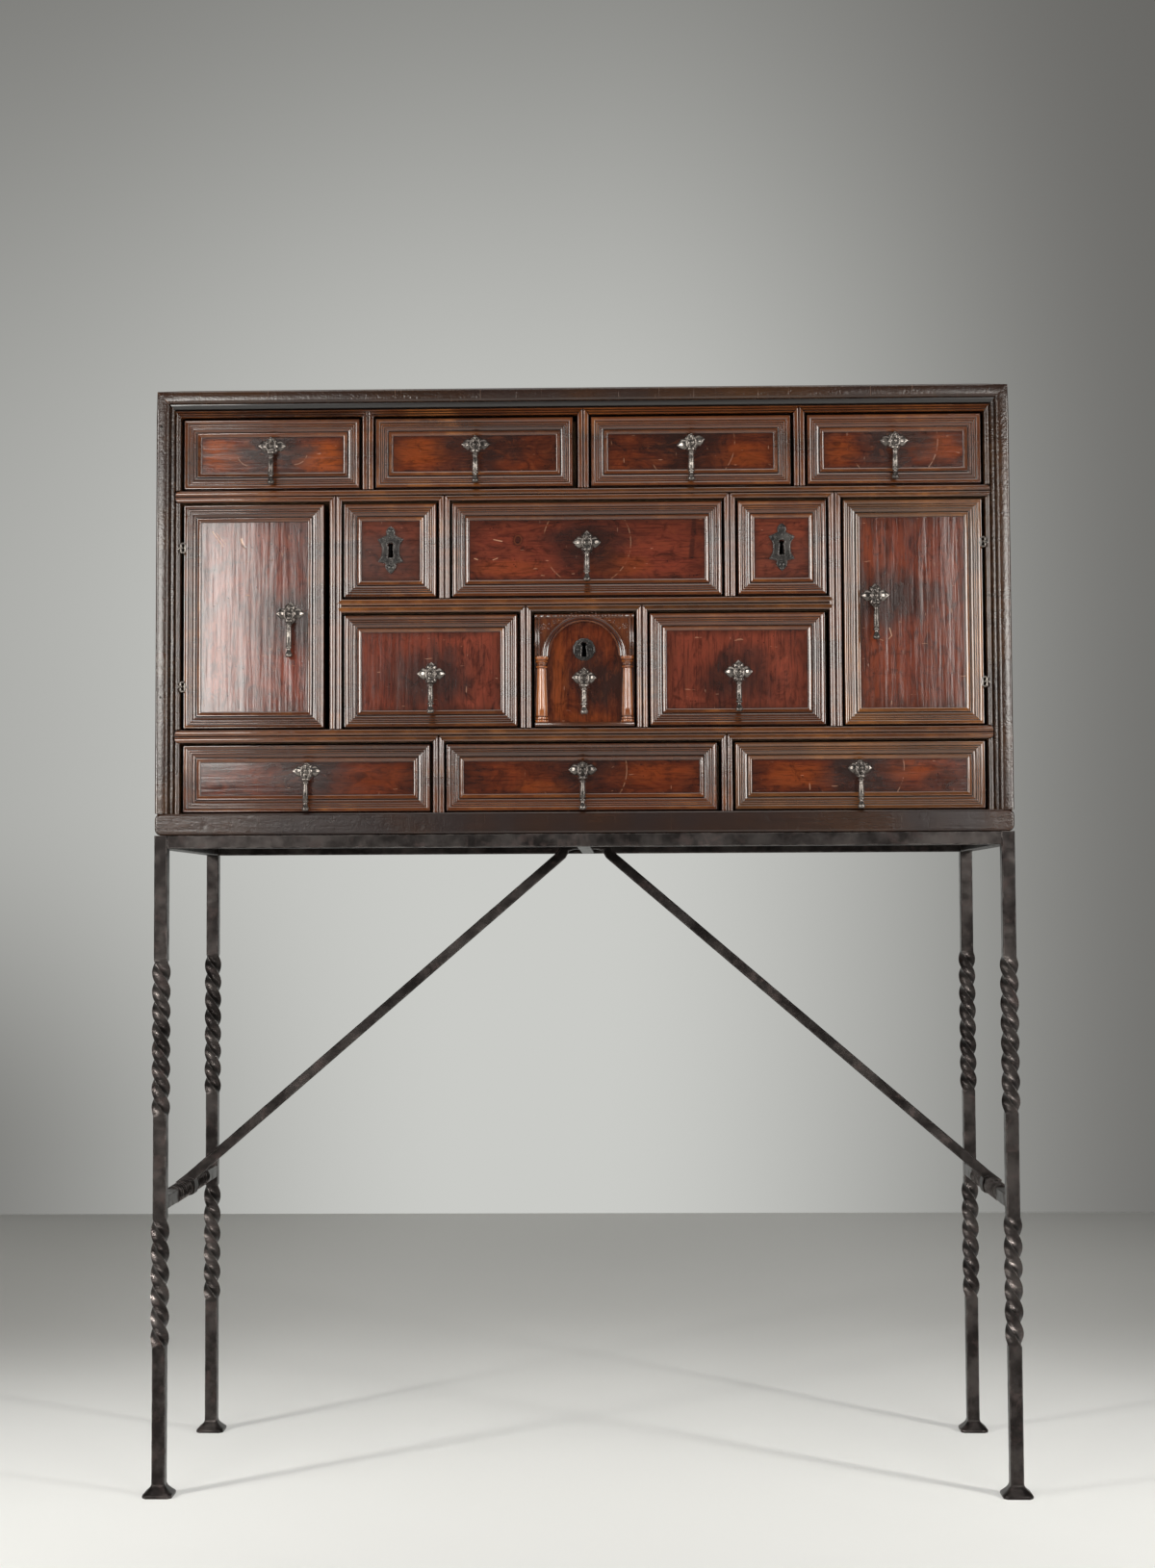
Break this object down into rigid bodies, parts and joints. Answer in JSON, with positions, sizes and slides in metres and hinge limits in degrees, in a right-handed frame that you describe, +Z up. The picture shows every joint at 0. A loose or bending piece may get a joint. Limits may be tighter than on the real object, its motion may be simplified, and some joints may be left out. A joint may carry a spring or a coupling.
{
  "type": "vargueno cabinet on stand",
  "caption": "Spanish walnut cabinet of drawers and two small cupboard doors, with iron pendants, on a wrought iron stand.",
  "frame": {"origin": "on the floor, at the centre of the stand's footprint", "axes": "+Z up, -Y towards the front with the drawers, +X to the right when facing the front"},
  "size_m": [1.06, 0.392, 1.336],
  "materials": {
    "case_walnut": "old waxed walnut",
    "front_walnut": "old waxed walnut, warmer in the panels",
    "moulding_walnut": "dark polished walnut",
    "inner_wood": "bare old wood",
    "stand_iron": "hammered wrought iron, waxed, with rust tint",
    "hardware_iron": "filed wrought iron, dark and smooth"
  },
  "bodies": {
    "cabinet": {"case_top": "case_walnut", "case_bottom": "case_walnut", "case_left_side": "case_walnut", "case_right_side": "case_walnut", "case_back": "inner_wood", "case_mouldings": "moulding_walnut", "hinge_loops": "hardware_iron", "shelves": "moulding_walnut", "partitions": "moulding_walnut", "stand_legs": "stand_iron", "stand_top_frame": "stand_iron", "stand_stretchers": "stand_iron", "stand_braces": "stand_iron"},
    "top_drawer_1": {"top_drawer_1": "front_walnut", "top_drawer_1_pull_mount": "hardware_iron"},
    "top_drawer_1_pendant": {"top_drawer_1_pendant": "hardware_iron"},
    "top_drawer_2": {"top_drawer_2": "front_walnut", "top_drawer_2_pull_mount": "hardware_iron"},
    "top_drawer_2_pendant": {"top_drawer_2_pendant": "hardware_iron"},
    "top_drawer_3": {"top_drawer_3": "front_walnut", "top_drawer_3_pull_mount": "hardware_iron"},
    "top_drawer_3_pendant": {"top_drawer_3_pendant": "hardware_iron"},
    "top_drawer_4": {"top_drawer_4": "front_walnut", "top_drawer_4_pull_mount": "hardware_iron"},
    "top_drawer_4_pendant": {"top_drawer_4_pendant": "hardware_iron"},
    "small_drawer_left": {"small_drawer_left": "front_walnut", "small_drawer_left_lock": "hardware_iron"},
    "small_drawer_left_bolt": {"small_drawer_left_bolt": "hardware_iron"},
    "long_drawer": {"long_drawer": "front_walnut", "long_drawer_pull_mount": "hardware_iron"},
    "long_drawer_pendant": {"long_drawer_pendant": "hardware_iron"},
    "small_drawer_right": {"small_drawer_right": "front_walnut", "small_drawer_right_lock": "hardware_iron"},
    "small_drawer_right_bolt": {"small_drawer_right_bolt": "hardware_iron"},
    "middle_drawer_left": {"middle_drawer_left": "front_walnut", "middle_drawer_left_pull_mount": "hardware_iron"},
    "middle_drawer_left_pendant": {"middle_drawer_left_pendant": "hardware_iron"},
    "arch_drawer": {"arch_drawer": "front_walnut", "arch_drawer_pull_mount": "hardware_iron", "arch_drawer_lock": "hardware_iron"},
    "arch_drawer_pendant": {"arch_drawer_pendant": "hardware_iron"},
    "arch_drawer_bolt": {"arch_drawer_bolt": "hardware_iron"},
    "middle_drawer_right": {"middle_drawer_right": "front_walnut", "middle_drawer_right_pull_mount": "hardware_iron"},
    "middle_drawer_right_pendant": {"middle_drawer_right_pendant": "hardware_iron"},
    "bottom_drawer_1": {"bottom_drawer_1": "front_walnut", "bottom_drawer_1_pull_mount": "hardware_iron"},
    "bottom_drawer_1_pendant": {"bottom_drawer_1_pendant": "hardware_iron"},
    "bottom_drawer_2": {"bottom_drawer_2": "front_walnut", "bottom_drawer_2_pull_mount": "hardware_iron"},
    "bottom_drawer_2_pendant": {"bottom_drawer_2_pendant": "hardware_iron"},
    "bottom_drawer_3": {"bottom_drawer_3": "front_walnut", "bottom_drawer_3_pull_mount": "hardware_iron"},
    "bottom_drawer_3_pendant": {"bottom_drawer_3_pendant": "hardware_iron"},
    "left_door": {"left_door": "front_walnut", "left_door_ironwork": "hardware_iron"},
    "left_door_pendant": {"left_door_pendant": "hardware_iron"},
    "right_door": {"right_door": "front_walnut", "right_door_ironwork": "hardware_iron"},
    "right_door_pendant": {"right_door_pendant": "hardware_iron"}
  },
  "joints": [
    {"name": "top_drawer_1_slide", "type": "slide", "parent": "cabinet", "child": "top_drawer_1", "axis": [0, -1, 0], "range_m": [0, 0.26]},
    {"name": "top_drawer_1_pendant_swing", "type": "hinge", "parent": "top_drawer_1", "child": "top_drawer_1_pendant", "pos_m": [-0.37925, -0.1858, 1.274], "axis": [-1, 0, 0], "range_deg": [0, 150]},
    {"name": "top_drawer_2_slide", "type": "slide", "parent": "cabinet", "child": "top_drawer_2", "axis": [0, -1, 0], "range_m": [0, 0.26]},
    {"name": "top_drawer_2_pendant_swing", "type": "hinge", "parent": "top_drawer_2", "child": "top_drawer_2_pendant", "pos_m": [-0.12925, -0.1858, 1.274], "axis": [-1, 0, 0], "range_deg": [0, 150]},
    {"name": "top_drawer_3_slide", "type": "slide", "parent": "cabinet", "child": "top_drawer_3", "axis": [0, -1, 0], "range_m": [0, 0.26]},
    {"name": "top_drawer_3_pendant_swing", "type": "hinge", "parent": "top_drawer_3", "child": "top_drawer_3_pendant", "pos_m": [0.13425, -0.1858, 1.274], "axis": [-1, 0, 0], "range_deg": [0, 150]},
    {"name": "top_drawer_4_slide", "type": "slide", "parent": "cabinet", "child": "top_drawer_4", "axis": [0, -1, 0], "range_m": [0, 0.26]},
    {"name": "top_drawer_4_pendant_swing", "type": "hinge", "parent": "top_drawer_4", "child": "top_drawer_4_pendant", "pos_m": [0.38175, -0.1858, 1.274], "axis": [-1, 0, 0], "range_deg": [0, 150]},
    {"name": "small_drawer_left_slide", "type": "slide", "parent": "cabinet", "child": "small_drawer_left", "axis": [0, -1, 0], "range_m": [0, 0.26]},
    {"name": "small_drawer_left_bolt_throw", "type": "slide", "parent": "small_drawer_left", "child": "small_drawer_left_bolt", "axis": [0, 0, 1], "range_m": [0, 0.009]},
    {"name": "long_drawer_slide", "type": "slide", "parent": "cabinet", "child": "long_drawer", "axis": [0, -1, 0], "range_m": [0, 0.26]},
    {"name": "long_drawer_pendant_swing", "type": "hinge", "parent": "long_drawer", "child": "long_drawer_pendant", "pos_m": [0.0065, -0.1858, 1.152], "axis": [-1, 0, 0], "range_deg": [0, 150]},
    {"name": "small_drawer_right_slide", "type": "slide", "parent": "cabinet", "child": "small_drawer_right", "axis": [0, -1, 0], "range_m": [0, 0.26]},
    {"name": "small_drawer_right_bolt_throw", "type": "slide", "parent": "small_drawer_right", "child": "small_drawer_right_bolt", "axis": [0, 0, 1], "range_m": [0, 0.009]},
    {"name": "middle_drawer_left_slide", "type": "slide", "parent": "cabinet", "child": "middle_drawer_left", "axis": [0, -1, 0], "range_m": [0, 0.26]},
    {"name": "middle_drawer_left_pendant_swing", "type": "hinge", "parent": "middle_drawer_left", "child": "middle_drawer_left_pendant", "pos_m": [-0.18413, -0.1858, 0.992], "axis": [-1, 0, 0], "range_deg": [0, 150]},
    {"name": "arch_drawer_slide", "type": "slide", "parent": "cabinet", "child": "arch_drawer", "axis": [0, -1, 0], "range_m": [0, 0.26]},
    {"name": "arch_drawer_pendant_swing", "type": "hinge", "parent": "arch_drawer", "child": "arch_drawer_pendant", "pos_m": [0.00225, -0.1858, 0.986], "axis": [-1, 0, 0], "range_deg": [0, 150]},
    {"name": "arch_drawer_bolt_throw", "type": "slide", "parent": "arch_drawer", "child": "arch_drawer_bolt", "axis": [0, 0, 1], "range_m": [0, 0.009]},
    {"name": "middle_drawer_right_slide", "type": "slide", "parent": "cabinet", "child": "middle_drawer_right", "axis": [0, -1, 0], "range_m": [0, 0.26]},
    {"name": "middle_drawer_right_pendant_swing", "type": "hinge", "parent": "middle_drawer_right", "child": "middle_drawer_right_pendant", "pos_m": [0.19012, -0.1858, 0.992], "axis": [-1, 0, 0], "range_deg": [0, 150]},
    {"name": "bottom_drawer_1_slide", "type": "slide", "parent": "cabinet", "child": "bottom_drawer_1", "axis": [0, -1, 0], "range_m": [0, 0.26]},
    {"name": "bottom_drawer_1_pendant_swing", "type": "hinge", "parent": "bottom_drawer_1", "child": "bottom_drawer_1_pendant", "pos_m": [-0.33625, -0.1858, 0.874], "axis": [-1, 0, 0], "range_deg": [0, 150]},
    {"name": "bottom_drawer_2_slide", "type": "slide", "parent": "cabinet", "child": "bottom_drawer_2", "axis": [0, -1, 0], "range_m": [0, 0.26]},
    {"name": "bottom_drawer_2_pendant_swing", "type": "hinge", "parent": "bottom_drawer_2", "child": "bottom_drawer_2_pendant", "pos_m": [0, -0.1858, 0.874], "axis": [-1, 0, 0], "range_deg": [0, 150]},
    {"name": "bottom_drawer_3_slide", "type": "slide", "parent": "cabinet", "child": "bottom_drawer_3", "axis": [0, -1, 0], "range_m": [0, 0.26]},
    {"name": "bottom_drawer_3_pendant_swing", "type": "hinge", "parent": "bottom_drawer_3", "child": "bottom_drawer_3_pendant", "pos_m": [0.33625, -0.1858, 0.874], "axis": [-1, 0, 0], "range_deg": [0, 150]},
    {"name": "left_door_hinge", "type": "hinge", "parent": "cabinet", "child": "left_door", "pos_m": [-0.48925, -0.185, 1.0585], "axis": [0, 0, -1], "range_deg": [0, 150]},
    {"name": "left_door_pendant_swing", "type": "hinge", "parent": "left_door", "child": "left_door_pendant", "pos_m": [-0.35675, -0.1858, 1.067], "axis": [-1, 0, 0], "range_deg": [0, 150]},
    {"name": "right_door_hinge", "type": "hinge", "parent": "cabinet", "child": "right_door", "pos_m": [0.48925, -0.185, 1.0585], "axis": [0, 0, 1], "range_deg": [0, 150]},
    {"name": "right_door_pendant_swing", "type": "hinge", "parent": "right_door", "child": "right_door_pendant", "pos_m": [0.35675, -0.1858, 1.084], "axis": [-1, 0, 0], "range_deg": [0, 150]}
  ]
}
